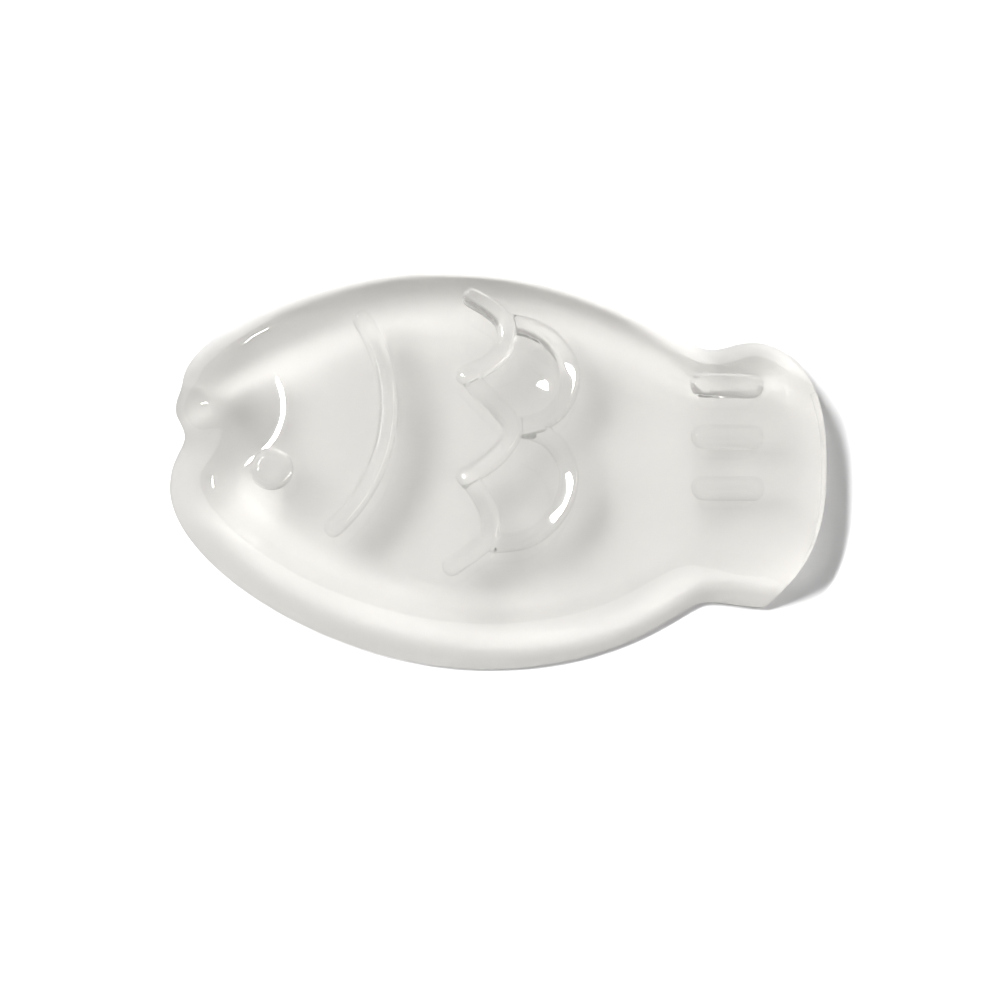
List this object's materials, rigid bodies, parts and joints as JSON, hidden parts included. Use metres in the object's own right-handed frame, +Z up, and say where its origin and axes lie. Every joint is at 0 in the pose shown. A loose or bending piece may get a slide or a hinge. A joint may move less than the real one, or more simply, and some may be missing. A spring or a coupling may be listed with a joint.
{
  "type": "flat-back fish charm",
  "caption": "Clear domed fish-shaped charm with a flat glue back, raised gill, scale and tail ribs and a button eye.",
  "frame": {"origin": "centre of the flat glue face, under the middle of the overall length and width", "axes": "+X towards the tail, +Y towards the fish's back, +Z up out of the glue face through the domed front"},
  "size_m": [0.025, 0.0154, 0.0041],
  "materials": {
    "clear_resin": "clear, very slightly warm and milky, glossy as moulded"
  },
  "bodies": {
    "root": {"body": "clear_resin", "eye_button": "clear_resin", "gill_rib": "clear_resin", "front_scale_upper": "clear_resin", "front_scale_middle": "clear_resin", "front_scale_lower": "clear_resin", "rear_scale_upper": "clear_resin", "rear_scale_lower": "clear_resin", "tail_ray_upper": "clear_resin", "tail_ray_middle": "clear_resin", "tail_ray_lower": "clear_resin"}
  },
  "joints": []
}
